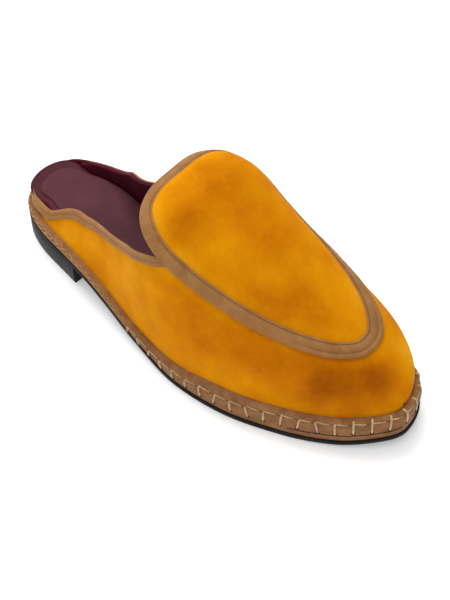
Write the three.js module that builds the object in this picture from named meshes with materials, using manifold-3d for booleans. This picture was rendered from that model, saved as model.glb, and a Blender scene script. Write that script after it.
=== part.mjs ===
// A flat slip-on mule for the right foot: velvet upper with a bound apron and topline, open heel,
// stitched leather-wrapped midsole, thin outsole and a low heel block.
// Millimetres, +Z up, toe towards -Y, the inner side of the foot towards +X.
import * as THREE from 'three';
import { mergeVertices } from 'three/addons/utils/BufferGeometryUtils.js';
import Module from 'manifold-3d';

const wasm = await Module();
wasm.setup();

// Driving dimensions
const shoeLength = 257.5;
const middleLine = 4.02;
const wall = 1.7;
const gap = 0.3;
const featherInset = 4;
const outsoleThickness = 3;
const heelBlock = { length: 57.2, inset: 0.6, corner: 1.2, slant: 5 };
const footbed = { heelMargin: 3.5, margin: 6.4, rounding: 1.2 };
const sock = { thickness: 1, margin: 5.4 };
const binding = { drop: 5.6, proud: 1.2, lining: 0.7, lap: 1.2 };
const heelBand = { inside: 0.8, proud: 2, back: 11, front: 23 };
const apron = { rim: 8.8, bound: 1.6, proud: 1.5, puff: 1.4, slope: 16 };
const quarterEnd = 21;
const toplineEnd = 134;
const skirtDepth = 9;
const farAway = 400;
const seam = 0.5;

// Fineness of the lofts
const stationCount = 36;
const archSteps = 20;
const outlineSteps = 40;

// Widest line of the sole seen from above: share of the length from heel to toe, and how far
// the outer and the inner edge lie from the line through the middle of the heel
const soleOutline = [
  { share: 0.0, outer: 0.8, inner: 0.8 },
  { share: 0.018, outer: -13.4, inner: 15.2 },
  { share: 0.085, outer: -23.2, inner: 24.6 },
  { share: 0.186, outer: -28.0, inner: 29.0 },
  { share: 0.306, outer: -33.0, inner: 26.8 },
  { share: 0.427, outer: -39.0, inner: 31.2 },
  { share: 0.553, outer: -43.6, inner: 45.6 },
  { share: 0.673, outer: -41.2, inner: 51.6 },
  { share: 0.799, outer: -31.0, inner: 48.0 },
  { share: 0.9, outer: -18.4, inner: 40.8 },
  { share: 0.97, outer: -4.0, inner: 29.6 },
  { share: 1.0, outer: 9.4, inner: 9.4 },
];

// Side view of the sole: underside of the outsole and the feather line, where the upper starts,
// and the top of the footbed
const soleProfile = [
  { share: 0.0, under: 13.2, feather: 22.2, footbed: 28.6 },
  { share: 0.1, under: 13.2, feather: 22.0, footbed: 28.2 },
  { share: 0.2, under: 13.2, feather: 21.4, footbed: 26.2 },
  { share: 0.235, under: 13.0, feather: 20.6, footbed: 25.0 },
  { share: 0.32, under: 9.0, feather: 16.4, footbed: 21.4 },
  { share: 0.44, under: 3.0, feather: 12.0, footbed: 18.8 },
  { share: 0.56, under: 0.0, feather: 14.6, footbed: 19.2 },
  { share: 0.66, under: 0.0, feather: 19.2, footbed: 22.4 },
  { share: 0.8, under: 0.0, feather: 19.8, footbed: 23.0 },
  { share: 0.9, under: 1.6, feather: 21.6, footbed: 24.8 },
  { share: 1.0, under: 6.6, feather: 26.2, footbed: 29.4 },
];

// Sections of the last: height of the ridge, its shift towards the inner side, how full the
// sides and the top are, and how far each side leans in, or out where the number is negative
const lastSections = [
  { share: 0.0, ridge: 80, shift: 8, sides: 2.4, top: 2.2, outerLean: 0.0, innerLean: 0.0 },
  { share: 0.1, ridge: 79, shift: 8.5, sides: 2.5, top: 2.2, outerLean: 0.95, innerLean: 0.05 },
  { share: 0.185, ridge: 80, shift: 8.5, sides: 2.6, top: 2.3, outerLean: 0.88, innerLean: 0.4 },
  { share: 0.247, ridge: 83, shift: 7.5, sides: 2.75, top: 2.4, outerLean: 0.5, innerLean: 0.52 },
  { share: 0.309, ridge: 87, shift: 8, sides: 2.9, top: 2.55, outerLean: 0.07, innerLean: 0.16 },
  { share: 0.386, ridge: 95.7, shift: 11, sides: 3.1, top: 2.75, outerLean: -0.35, innerLean: -0.35 },
  { share: 0.432, ridge: 101.4, shift: 11.5, sides: 3.15, top: 2.8, outerLean: -0.47, innerLean: -0.51 },
  { share: 0.483, ridge: 101.8, shift: 11, sides: 3.0, top: 2.7, outerLean: -0.38, innerLean: -0.41 },
  { share: 0.56, ridge: 93, shift: 9.5, sides: 2.75, top: 2.5, outerLean: -0.13, innerLean: -0.13 },
  { share: 0.637, ridge: 83.5, shift: 8, sides: 2.6, top: 2.4, outerLean: 0.02, innerLean: 0.04 },
  { share: 0.714, ridge: 73.5, shift: 7, sides: 2.55, top: 2.4, outerLean: 0.04, innerLean: 0.06 },
  { share: 0.79, ridge: 63.5, shift: 7, sides: 2.6, top: 2.4, outerLean: 0.0, innerLean: 0.0 },
  { share: 0.888, ridge: 49.5, shift: 5.5, sides: 2.65, top: 2.4, outerLean: -0.06, innerLean: -0.12 },
  { share: 0.955, ridge: 36.5, shift: 3.5, sides: 2.6, top: 2.4, outerLean: -0.04, innerLean: -0.1 },
  { share: 0.985, ridge: 28.5, shift: 1, sides: 2.4, top: 2.3, outerLean: 0.0, innerLean: 0.0 },
];

// Topline in side view: distance from the back of the heel, and its height on either side
const topline = [
  { along: -21.5, outer: 28, inner: 28 },
  { along: 12.5, outer: 28, inner: 28.6 },
  { along: 20.5, outer: 28.2, inner: 30.6 },
  { along: 26.5, outer: 29.4, inner: 33 },
  { along: 32.5, outer: 33.6, inner: 35.6 },
  { along: 39.5, outer: 38.4, inner: 38.8 },
  { along: 46.5, outer: 41.8, inner: 42.4 },
  { along: 54.5, outer: 44.6, inner: 47.4 },
  { along: 62.5, outer: 48.6, inner: 50.2 },
  { along: 72.5, outer: 53.6, inner: 53.8 },
  { along: 82.5, outer: 58.8, inner: 58.6 },
  { along: 92.5, outer: 65, inner: 65 },
  { along: 102.5, outer: 71.4, inner: 72.4 },
  { along: 114.5, outer: 77.6, inner: 79.4 },
  { along: 124.5, outer: 81, inner: 83.2 },
  { along: 148.5, outer: 92, inner: 92 },
];

// Edge of the apron on the last, from the middle of the tongue round the outer side
const apronOutline = [
  { across: 6, along: 100, up: 98.5 },
  { across: -8, along: 100.5, up: 96.5 },
  { across: -19, along: 104, up: 93 },
  { across: -26, along: 112.5, up: 88 },
  { across: -30, along: 124.5, up: 82 },
  { across: -29.3, along: 140.5, up: 74 },
  { across: -26, along: 159.5, up: 66.5 },
  { across: -20.5, along: 184.5, up: 59.5 },
  { across: -12, along: 206.5, up: 54.5 },
  { across: -2, along: 222, up: 51 },
  { across: 11, along: 230.5, up: 49 },
  { across: 24, along: 229.5, up: 50 },
  { across: 34, along: 218, up: 54 },
  { across: 40, along: 199.5, up: 58.5 },
  { across: 43.5, along: 173.5, up: 63.5 },
  { across: 45.3, along: 148.5, up: 70 },
  { across: 45, along: 128.5, up: 77.5 },
  { across: 41, along: 113.5, up: 84.5 },
  { across: 33, along: 104, up: 92 },
  { across: 20, along: 100.5, up: 97.3 },
];
// The apron's edge is cut square to the last, away from a line along the middle of the foot
const apronCore = { across: 7, back: 130, front: 198, up: 34 };

// A smooth curve through one column of a table. Level stretches stay level, and a turned-off
// levelling gives rounder turns
function curveThrough(rows, key, column, level = false) {
  const steps = rows.slice(1).map((row, i) => {
    const run = row[key] - rows[i][key];
    return { run, rise: (row[column] - rows[i][column]) / run };
  });
  const slopes = rows.map((row, i) => {
    if (i === 0) return steps[0].rise;
    if (i === steps.length) return steps[i - 1].rise;
    const [before, after] = [steps[i - 1], steps[i]];
    if (level && before.rise * after.rise <= 0) return 0;
    if (level) return 2 / (1 / before.rise + 1 / after.rise);
    return (before.rise * after.run + after.rise * before.run) / (before.run + after.run);
  });
  return (at) => {
    let i = 0;
    while (i < steps.length - 1 && at > rows[i + 1][key]) i += 1;
    const { run } = steps[i];
    const t = THREE.MathUtils.clamp((at - rows[i][key]) / run, 0, 1);
    const [a, b] = [rows[i][column], rows[i + 1][column]];
    const rest = 1 - t;
    return a * rest * rest * (1 + 2 * t) + b * t * t * (3 - 2 * t)
      + run * t * rest * (slopes[i] * rest - slopes[i + 1] * t);
  };
}

// The outline and the sections are rounded at both ends by running them on an angle
const turnOf = (share) => Math.acos(1 - 2 * THREE.MathUtils.clamp(share, 0, 1));
const withTurn = (rows) => rows.map((row) => ({ ...row, turn: turnOf(row.share) }));
const outlineRows = withTurn(soleOutline);
const outerEdge = curveThrough(outlineRows, 'turn', 'outer');
const innerEdge = curveThrough(outlineRows, 'turn', 'inner');
const sectionRows = withTurn(lastSections);
const section = Object.fromEntries(Object.keys(lastSections[0]).map(
  (column) => [column, curveThrough(sectionRows, 'turn', column)],
));
const profile = Object.fromEntries(['under', 'feather', 'footbed'].map((column) => {
  const curve = curveThrough(soleProfile, 'share', column, true);
  return [column, (along) => curve(along / shoeLength)];
}));
const toplineAt = {
  outer: curveThrough(topline, 'along', 'outer', true),
  inner: curveThrough(topline, 'along', 'inner', true),
};

// A point of the sole's outline, drawn in by an inset, at an angle from heel to toe
function outlinePoint(turn, side, inset = 0) {
  const edge = side === 'outer' ? outerEdge : innerEdge;
  const nudge = 0.002;
  const place = (a) => new THREE.Vector2(
    edge(THREE.MathUtils.clamp(a, 0, Math.PI)),
    shoeLength * (1 - Math.cos(a)) / 2,
  );
  const ends = turn < nudge || turn > Math.PI - nudge;
  const along = place(turn + nudge).sub(place(turn - nudge)).normalize();
  const facing = side === 'outer' ? 1 : -1;
  const inward = ends
    ? new THREE.Vector2(0, turn < nudge ? 1 : -1)
    : new THREE.Vector2(along.y * facing, -along.x * facing);
  return place(turn).addScaledVector(inward, inset);
}

// From across, along and up to the part's own axes
const placed = (across, along, up) => new THREE.Vector3(across - middleLine, shoeLength / 2 - along, up);

// Closed solids
function geometryOf(points, faces) {
  const geometry = new THREE.BufferGeometry();
  geometry.setAttribute('position', new THREE.Float32BufferAttribute(points.flatMap((p) => p.toArray()), 3));
  geometry.setIndex(faces.flat());
  const merged = mergeVertices(geometry, 1e-4);
  const index = [...merged.index.array];
  const kept = [];
  for (let i = 0; i < index.length; i += 3) {
    const [a, b, c] = index.slice(i, i + 3);
    if (a !== b && b !== c && c !== a) kept.push(a, b, c);
  }
  merged.setIndex(signedVolume(merged.attributes.position, kept) < 0 ? kept.reverse() : kept);
  return merged;
}

function signedVolume(position, index) {
  const [a, b, c] = [new THREE.Vector3(), new THREE.Vector3(), new THREE.Vector3()];
  let volume = 0;
  for (let i = 0; i < index.length; i += 3) {
    a.fromBufferAttribute(position, index[i]);
    b.fromBufferAttribute(position, index[i + 1]);
    c.fromBufferAttribute(position, index[i + 2]);
    volume += a.dot(b.cross(c)) / 6;
  }
  return volume;
}

function solidOf(geometry) {
  return new wasm.Manifold(new wasm.Mesh({
    numProp: 3,
    vertProperties: new Float32Array(geometry.attributes.position.array),
    triVerts: new Uint32Array(geometry.index.array),
  }));
}

// Rings of equal length joined into a solid; the first and the last ring are closed by a ladder
// of faces between their two sides
function loftRings(rings) {
  const count = rings[0].length;
  const half = count / 2;
  const faces = [];
  for (let r = 0; r < rings.length - 1; r += 1) {
    for (let i = 0; i < count; i += 1) {
      const [a, b] = [r * count + i, r * count + (i + 1) % count];
      faces.push([a, b, b + count], [a, b + count, a + count]);
    }
  }
  const last = (rings.length - 1) * count;
  for (let i = 0; i < half - 1; i += 1) {
    const [a, b, c, d] = [i, i + 1, count - 2 - i, count - 1 - i];
    faces.push([b, a, c], [c, a, d], [last + a, last + b, last + c], [last + a, last + c, last + d]);
  }
  return geometryOf(rings.flat(), faces);
}

// A ring of points round the sole's outline, at a height worked out from the distance along it
function outlineRing(inset, heightAt, endTurn = Math.PI) {
  const insetAt = typeof inset === 'function' ? inset : () => inset;
  const side = (name) => Array.from({ length: outlineSteps + 1 }, (_, i) => {
    const turn = endTurn * i / outlineSteps;
    const guess = outlinePoint(turn, name, 0);
    const point = outlinePoint(turn, name, insetAt(guess.y));
    return placed(point.x, point.y, heightAt(point.y));
  });
  return [...side('outer'), ...side('inner').reverse()];
}

// The last, grown or shrunk by an offset, with straight sides below the feather line
const inUnit = (cosine, power) => Math.sign(cosine) * Math.abs(cosine) ** (2 / power);

function lastSection(turn) {
  const [outer, inner] = ['outer', 'inner'].map((side) => outlinePoint(turn, side, featherInset));
  const middle = outer.clone().add(inner).multiplyScalar(0.5);
  const reach = inner.clone().sub(outer).multiplyScalar(0.5);
  const foot = profile.feather(middle.y);
  const place = turnOf(middle.y / shoeLength);
  const [ridge, shift, sides, top] = ['ridge', 'shift', 'sides', 'top'].map((name) => section[name](place));
  const rise = ridge - foot;
  const arch = Array.from({ length: archSteps + 1 }, (_, i) => {
    const angle = Math.PI * (1 - i / archSteps);
    const up = i === 0 || i === archSteps ? 0 : inUnit(Math.sin(angle), top);
    const lean = i < archSteps / 2 ? section.outerLean(place) : section.innerLean(place);
    const out = inUnit(Math.cos(angle), sides) * (1 - lean * up);
    const point = middle.clone().addScaledVector(reach, out);
    return placed(point.x + shift * up, point.y, foot + rise * up);
  });
  const down = new THREE.Vector3(0, 0, -skirtDepth);
  return [arch[0].clone().add(down), ...arch, arch[archSteps].clone().add(down)];
}

const lastRings = Array.from({ length: stationCount + 1 }, (_, k) => lastSection(Math.PI * k / stationCount));

function lastGeometry() {
  const count = lastRings[0].length;
  const faces = [];
  for (let k = 0; k < stationCount; k += 1) {
    for (let i = 0; i < count; i += 1) {
      const [a, b] = [k * count + i, k * count + (i + 1) % count];
      faces.push([a, b, b + count], [a, b + count, a + count]);
    }
  }
  return geometryOf(lastRings.flat(), faces);
}

const baseLast = lastGeometry();
baseLast.computeVertexNormals();

function lastForm(offset) {
  const offsetAt = typeof offset === 'function' ? offset : () => offset;
  const grown = baseLast.clone();
  const { position, normal } = grown.attributes;
  const point = new THREE.Vector3();
  const outward = new THREE.Vector3();
  for (let i = 0; i < position.count; i += 1) {
    point.fromBufferAttribute(position, i);
    outward.fromBufferAttribute(normal, i);
    point.addScaledVector(outward, offsetAt(point));
    position.setXYZ(i, point.x, point.y, point.z);
  }
  return solidOf(grown);
}

// A side view, as points of distance along and height, pulled across the shoe
function sideCut(points, from = -farAway, to = farAway) {
  const shape = new THREE.Shape(points.map(([along, up]) => new THREE.Vector2(shoeLength / 2 - along, up)));
  const geometry = new THREE.ExtrudeGeometry(shape, { depth: to - from, bevelEnabled: false });
  geometry.rotateX(Math.PI / 2).rotateZ(Math.PI / 2).translate(from, 0, 0);
  return closedSolid(geometry);
}

function closedSolid(geometry) {
  geometry.deleteAttribute('normal');
  geometry.deleteAttribute('uv');
  return solidOf(mergeVertices(geometry, 1e-4));
}

const stations = (from, to, step) => {
  const count = Math.ceil((to - from) / step);
  return Array.from({ length: count + 1 }, (_, i) => from + (to - from) * i / count);
};

// All that lies below the topline, lowered by some amount, with each side of its own height
function belowTopline(lowered) {
  const sides = { outer: [-farAway, seam], inner: [-seam, farAway] };
  const [first, last] = [topline[0].along, topline.at(-1).along];
  const parts = Object.entries(sides).map(([side, [from, to]]) => sideCut([
    [first, -farAway],
    ...stations(first, last, 6).map((along) => [along, toplineAt[side](along) - lowered]),
    [last, farAway],
    [farAway, farAway],
    [farAway, -farAway],
  ], from, to));
  return parts[0].add(parts[1]);
}

const farBox = () => sideCut([[-farAway, -farAway], [-farAway, farAway], [farAway, farAway], [farAway, -farAway]]);
const aboveTopline = (raised) => farBox().subtract(belowTopline(-raised));
const behind = (along) => sideCut([[-farAway, -farAway], [-farAway, farAway], [along, farAway], [along, -farAway]]);

// All that lies above the feather line
const aboveFeather = (raised) => sideCut([
  ...stations(-20, shoeLength + 20, 8).map((along) => [along, profile.feather(along) + raised]),
  [farAway, farAway],
  [-farAway, farAway],
]);

// The apron's edge, drawn in or out along the last, with the core it faces away from
const apronSteps = 60;
const apronCurve = new THREE.CatmullRomCurve3(
  apronOutline.map((row) => placed(row.across, row.along, row.up)),
  true,
  'centripetal',
);

function apronEdge(inset) {
  return Array.from({ length: apronSteps }, (_, i) => {
    const point = apronCurve.getPointAt(i / apronSteps);
    const tangent = apronCurve.getTangentAt(i / apronSteps);
    const along = THREE.MathUtils.clamp(shoeLength / 2 - point.y, apronCore.back, apronCore.front);
    const core = placed(apronCore.across, along, apronCore.up);
    const outward = point.clone().sub(core);
    const inward = outward.cross(tangent).normalize();
    return { core, point: point.addScaledVector(inward, inset) };
  });
}

function apronCut(inset) {
  const edge = apronEdge(inset);
  const deep = edge.map(({ core, point }) => core.clone().lerp(point, 0.1));
  const high = edge.map(({ core, point }) => core.clone().lerp(point, 2.2));
  return solidOf(loftRings([deep, high]));
}

// Everything between two offsets of the last
const shell = (outside, inside) => lastForm(outside).subtract(lastForm(inside));

// How far a point lies from the inner edge of the apron's binding
const apronRim = apronEdge(apron.rim).map(({ point }) => point);
const apronDepth = (point) => Math.min(...apronRim.map((corner) => corner.distanceTo(point)));

const materials = {
  velvet: { color: '#d48a10', roughness: 0.92 },
  bindingLeather: { color: '#9b6f48', roughness: 0.6 },
  lining: { color: '#451423', roughness: 0.55 },
  sockLeather: { color: '#5c343c', roughness: 0.7 },
  wrapLeather: { color: '#8f6640', roughness: 0.6 },
  rubber: { color: '#2c2c2e', roughness: 0.75 },
  stackedHeel: { color: '#3b3d40', roughness: 0.7 },
};

function node(name, solid, finish) {
  const mesh = solid.getMesh();
  const geometry = new THREE.BufferGeometry();
  geometry.setAttribute('position', new THREE.Float32BufferAttribute(mesh.vertProperties, 3));
  geometry.setIndex(new THREE.Uint32BufferAttribute(mesh.triVerts, 1));
  geometry.computeVertexNormals();
  const piece = new THREE.Mesh(geometry, new THREE.MeshStandardMaterial({ ...finish, metalness: 0 }));
  piece.name = name;
  return piece;
}

// The upper covers all below the topline and all of the apron, down to the feather line
function upperShell(grow) {
  const kept = belowTopline(binding.lap - grow).add(apronCut(binding.lap - grow));
  return shell(grow, -wall - grow)
    .intersect(kept)
    .intersect(aboveFeather(gap - grow))
    .subtract(behind(quarterEnd - grow));
}

// The apron's soft top, raised in the middle
function apronPad() {
  const top = (point) => apron.proud
    + apron.puff * THREE.MathUtils.smoothstep(apronDepth(point), 0, apron.slope);
  return shell(top, gap).intersect(apronCut(apron.rim + gap)).intersect(aboveFeather(gap));
}

// Leather folded round the tongue's free edge and laid flat along the rest of the apron
function apronBinding() {
  const ring = apronCut(0).subtract(apronCut(apron.rim));
  const flat = shell(apron.bound, gap).intersect(ring);
  const free = aboveTopline(2 * gap);
  const fold = shell(apron.bound, -wall - gap - binding.lining).intersect(ring).intersect(free);
  return flat.add(fold).subtract(upperShell(gap)).intersect(aboveFeather(gap));
}

// How far round from the band behind the heel a point lies towards the quarters, from 0 to 1
const fromHeelBand = (along) => THREE.MathUtils.smoothstep(along, heelBand.back, heelBand.front);

// Leather folded over the quarters' edge, which runs out into a band round the back of the heel
function toplineBinding() {
  const blend = (heel, side) => (point) => THREE.MathUtils.lerp(heel, side, fromHeelBand(shoeLength / 2 - point.y));
  const outside = blend(heelBand.proud, binding.proud);
  const inside = blend(heelBand.inside, -wall - gap - binding.lining);
  const strip = belowTopline(0).subtract(belowTopline(binding.drop));
  const band = belowTopline(0).intersect(behind(heelBand.front));
  return shell(outside, inside)
    .intersect(strip.add(band))
    .intersect(aboveFeather(gap))
    .intersect(behind(toplineEnd))
    .subtract(upperShell(gap))
    .subtract(apronCut(-gap))
    .subtract(insoleSolid(gap));
}

const footbedEdge = (along) => THREE.MathUtils.lerp(footbed.heelMargin, footbed.margin, fromHeelBand(along));

function insoleSolid(grow = 0) {
  const inset = (extra) => (along) => footbedEdge(along) + extra - grow;
  const top = (lowered) => (along) => profile.footbed(along) - lowered + grow;
  return solidOf(loftRings([
    outlineRing(inset(0), (along) => profile.feather(along) + gap - grow),
    outlineRing(inset(0), top(footbed.rounding)),
    outlineRing(inset(footbed.rounding), top(0)),
  ]));
}

// The thin pad on the footbed
function sockSolid() {
  const inset = (extra) => (along) => footbedEdge(along) + sock.margin + extra;
  return solidOf(loftRings([
    outlineRing(inset(0), (along) => profile.footbed(along) + gap),
    outlineRing(inset(0.4), (along) => profile.footbed(along) + gap + sock.thickness),
  ]));
}

// The leather-wrapped midsole bulges below the feather line
function midsoleSolid() {
  const foot = (along) => profile.under(along) + outsoleThickness + gap;
  const level = (share) => (along) => THREE.MathUtils.lerp(foot(along), profile.feather(along), share);
  return solidOf(loftRings([
    outlineRing(1.6, level(0)),
    outlineRing(0.3, level(0.2)),
    outlineRing(0, level(0.45)),
    outlineRing(0.8, level(0.75)),
    outlineRing(2.4, level(0.94)),
    outlineRing(3.8, level(1)),
  ]));
}

const outsoleSolid = () => solidOf(loftRings([
  outlineRing(0.9, profile.under),
  outlineRing(0.4, (along) => profile.under(along) + outsoleThickness),
]));

// The heel block follows the outline and ends in a slightly hollow breast
function heelSolid() {
  const ring = (inset, up) => outlineRing(inset, () => up);
  const column = solidOf(loftRings([
    ring(heelBlock.inset, 0),
    ring(heelBlock.inset - 0.4, heelBlock.corner),
    ring(0.8, profile.under(0) - gap),
  ]));
  const height = profile.under(0);
  const breastAt = placed(middleLine, heelBlock.length, 0).y;
  const breast = sideCut([[-farAway, -1], [0, 0], [-1.2, 4], [-1, 8], [0.5, height], [-farAway, height]])
    .translate([0, -shoeLength / 2, 0])
    .rotate([0, 0, -heelBlock.slant])
    .translate([0, breastAt, 0]);
  return column.intersect(breast);
}

const mule = new THREE.Group();
mule.add(node('upper', upperShell(0), materials.velvet));
mule.add(node('apron', apronPad(), materials.velvet));
mule.add(node('apron_binding', apronBinding(), materials.bindingLeather));
mule.add(node('topline_binding', toplineBinding(), materials.bindingLeather));
mule.add(node('insole', insoleSolid().subtract(upperShell(gap)), materials.lining));
mule.add(node('sock', sockSolid(), materials.sockLeather));
mule.add(node('midsole', midsoleSolid(), materials.wrapLeather));
mule.add(node('outsole', outsoleSolid(), materials.rubber));
mule.add(node('heel', heelSolid(), materials.stackedHeel));

export default mule;
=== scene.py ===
# A velvet slip-on mule for the right foot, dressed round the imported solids.
# Tables are in millimetres: across (towards the inner side), along (from the back of the heel), up.
import math
import random
import bmesh
import bpy
import numpy as np
from mathutils import Matrix, Vector
from mathutils.bvhtree import BVHTree
from mathutils.interpolate import poly_3d_calc


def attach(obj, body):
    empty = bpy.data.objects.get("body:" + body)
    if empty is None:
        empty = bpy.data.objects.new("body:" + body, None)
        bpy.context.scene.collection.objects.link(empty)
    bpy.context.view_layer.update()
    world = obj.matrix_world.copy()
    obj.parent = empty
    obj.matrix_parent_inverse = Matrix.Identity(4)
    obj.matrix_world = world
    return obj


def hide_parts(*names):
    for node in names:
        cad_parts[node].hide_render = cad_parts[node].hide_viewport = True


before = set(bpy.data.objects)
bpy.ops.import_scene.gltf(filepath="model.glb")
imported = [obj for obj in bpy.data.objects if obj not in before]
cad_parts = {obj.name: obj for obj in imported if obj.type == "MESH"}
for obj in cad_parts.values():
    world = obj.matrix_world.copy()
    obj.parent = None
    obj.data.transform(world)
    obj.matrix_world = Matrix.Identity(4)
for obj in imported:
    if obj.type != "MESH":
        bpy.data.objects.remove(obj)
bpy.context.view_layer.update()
scene = bpy.context.scene
print("frame loaded:", sorted(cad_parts))

# Camera: the photograph's place and tilt, turned and zoomed on to the one shoe
view = {"at": (-459.8, -473.3, 874.0), "aim": (-12.4, -20.9, 45.0),
        "upright": (0.5507, 0.4619, 0.6953), "lens": 121.0, "sensor": 36, "farthest": 20}
backward = (Vector(view["at"]) - Vector(view["aim"])).normalized()
rightward = Vector(view["upright"]).cross(backward).normalized()
turned = [rightward, backward.cross(rightward), backward]
cameraData = bpy.data.cameras.new("camera")
cameraData.lens = view["lens"]
cameraData.sensor_width = view["sensor"]
cameraData.sensor_fit = "AUTO"
cameraData.clip_end = view["farthest"]
camera = bpy.data.objects.new("camera", cameraData)
scene.collection.objects.link(camera)
camera.matrix_world = Matrix([[axis[i] for axis in turned] + [view["at"][i] / 1000] for i in range(3)]
                             + [[0, 0, 0, 1]])
scene.camera = camera

# The shoe's own measures
shoe = {"length": 257.5, "middle": 4.02, "wall": 1.7, "feather": 4.0, "outsole": 3.0}
mergeWithin = {"grid": 2e-6, "thread": 1e-6}  # metres

soleOutline = [  # share of the length, outer edge, inner edge
    (0.0, 0.8, 0.8), (0.018, -13.4, 15.2), (0.085, -23.2, 24.6), (0.186, -28.0, 29.0),
    (0.306, -33.0, 26.8), (0.427, -39.0, 31.2), (0.553, -43.6, 45.6), (0.673, -41.2, 51.6),
    (0.799, -31.0, 48.0), (0.9, -18.4, 40.8), (0.97, -4.0, 29.6), (1.0, 9.4, 9.4)]
soleProfile = [  # share, underside, feather line, footbed
    (0.0, 13.2, 22.2, 28.6), (0.1, 13.2, 22.0, 28.2), (0.2, 13.2, 21.4, 26.2),
    (0.235, 13.0, 20.6, 25.0), (0.32, 9.0, 16.4, 21.4), (0.44, 3.0, 12.0, 18.8),
    (0.56, 0.0, 14.6, 19.2), (0.66, 0.0, 19.2, 22.4), (0.8, 0.0, 19.8, 23.0),
    (0.9, 1.6, 21.6, 24.8), (1.0, 6.6, 26.2, 29.4)]
lastSections = [  # share, ridge, shift, fullness of the sides, of the top, outer lean, inner lean
    (0.0, 80, 8, 2.4, 2.2, 0.0, 0.0), (0.1, 79, 8.5, 2.5, 2.2, 0.95, 0.05),
    (0.185, 80, 8.5, 2.6, 2.3, 0.88, 0.4), (0.247, 83, 7.5, 2.75, 2.4, 0.5, 0.52),
    (0.309, 87, 8, 2.9, 2.55, 0.07, 0.16), (0.386, 95.7, 11, 3.1, 2.75, -0.35, -0.35),
    (0.432, 101.4, 11.5, 3.15, 2.8, -0.47, -0.51), (0.483, 101.8, 11, 3.0, 2.7, -0.38, -0.41),
    (0.56, 93, 9.5, 2.75, 2.5, -0.13, -0.13), (0.637, 83.5, 8, 2.6, 2.4, 0.02, 0.04),
    (0.714, 73.5, 7, 2.55, 2.4, 0.04, 0.06), (0.79, 63.5, 7, 2.6, 2.4, 0.0, 0.0),
    (0.888, 49.5, 5.5, 2.65, 2.4, -0.06, -0.12), (0.955, 36.5, 3.5, 2.6, 2.4, -0.04, -0.1),
    (0.985, 28.5, 1, 2.4, 2.3, 0.0, 0.0)]
topline = [  # along, height on the outer side, on the inner side
    (-21.5, 28, 28), (2.5, 28, 28), (10.5, 29.2, 30.2), (20.5, 29.2, 32.8), (26.5, 30, 34),
    (32.5, 33.6, 35.4), (39.5, 38.4, 37.4), (46.5, 41.8, 40.8), (54.5, 44.6, 47.4),
    (62.5, 48.6, 50.2), (72.5, 53.6, 53.8), (82.5, 58.8, 58.6), (92.5, 65, 65),
    (102.5, 71.4, 72.4), (114.5, 77.6, 79.4), (124.5, 81, 83.2), (148.5, 92, 92)]
apronOutline = [  # across, along, up, from the middle of the tongue round the outer side
    (6, 100, 98.5), (-8, 100.5, 96.5), (-19, 104, 93), (-26, 112.5, 88), (-30, 124.5, 82),
    (-29.3, 140.5, 74), (-26, 159.5, 66.5), (-20.5, 184.5, 59.5), (-12, 206.5, 54.5),
    (-2, 222, 51), (11, 230.5, 49), (24, 229.5, 50), (34, 218, 54), (40, 199.5, 58.5),
    (43.5, 173.5, 63.5), (45.3, 148.5, 70), (45, 128.5, 77.5), (41, 113.5, 84.5),
    (33, 104, 92), (20, 100.5, 97.3)]


def clamp(value, low=0.0, high=1.0):
    return min(max(value, low), high)


def smooth(value, start, end):
    t = clamp((value - start) / (end - start))
    return t * t * (3 - 2 * t)


def mix(a, b, t):
    return a + (b - a) * t


# A smooth curve through one column of a table
def curveThrough(rows, column, level=False):
    keys = [row[0] for row in rows]
    values = [row[column] for row in rows]
    runs = [b - a for a, b in zip(keys, keys[1:])]
    rises = [(b - a) / run for a, b, run in zip(values, values[1:], runs)]
    slopes = [rises[0]]
    for before, after, runBefore, runAfter in zip(rises, rises[1:], runs, runs[1:]):
        if level:
            slopes.append(0 if before * after <= 0 else 2 / (1 / before + 1 / after))
        else:
            slopes.append((before * runAfter + after * runBefore) / (runBefore + runAfter))
    slopes.append(rises[-1])

    def at(where):
        i = 0
        while i < len(runs) - 1 and where > keys[i + 1]:
            i += 1
        t = clamp((where - keys[i]) / runs[i])
        rest = 1 - t
        return (values[i] * rest * rest * (1 + 2 * t) + values[i + 1] * t * t * (3 - 2 * t)
                + runs[i] * t * rest * (slopes[i] * rest - slopes[i + 1] * t))
    return at


def turnOf(share):
    return math.acos(1 - 2 * clamp(share))


def turnAt(along):
    return turnOf(along / shoe["length"])


def withTurn(rows):
    return [(turnOf(row[0]),) + row[1:] for row in rows]


outlineRows = withTurn(soleOutline)
edgeCurve = {"outer": curveThrough(outlineRows, 1), "inner": curveThrough(outlineRows, 2)}
sectionCurves = [curveThrough(withTurn(lastSections), column) for column in range(1, 7)]
profileCurves = {name: curveThrough(soleProfile, column, level=True)
                 for name, column in (("under", 1), ("feather", 2), ("footbed", 3))}
toplineCurves = {"outer": curveThrough(topline, 1, level=True),
                 "inner": curveThrough(topline, 2, level=True)}


def profile(name, along):
    return profileCurves[name](along / shoe["length"])


# A point of the sole's outline, moved inwards; a turn of 0 is the heel and of pi the toe
def outlinePoint(turn, side, inset=0.0):
    nudge = 0.002

    def at(angle):
        along = shoe["length"] * (1 - math.cos(angle)) / 2
        return Vector((edgeCurve[side](clamp(angle, 0, math.pi)), along))
    if turn < nudge or turn > math.pi - nudge:
        inward = Vector((0, 1 if turn < nudge else -1))
    else:
        run = (at(turn + nudge) - at(turn - nudge)).normalized()
        facing = 1 if side == "outer" else -1
        inward = Vector((run.y * facing, -run.x * facing))
    return at(turn) + inward * inset


def place(across, along, up):
    return Vector((across - shoe["middle"], shoe["length"] / 2 - along, up)) / 1000


def alongOf(point):
    return shoe["length"] / 2 - point.y * 1000


def acrossOf(point):
    return point.x * 1000 + shoe["middle"]


# The last: a section at each turn, from the outer foot over the ridge to the inner foot
sectionStore = {}


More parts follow.
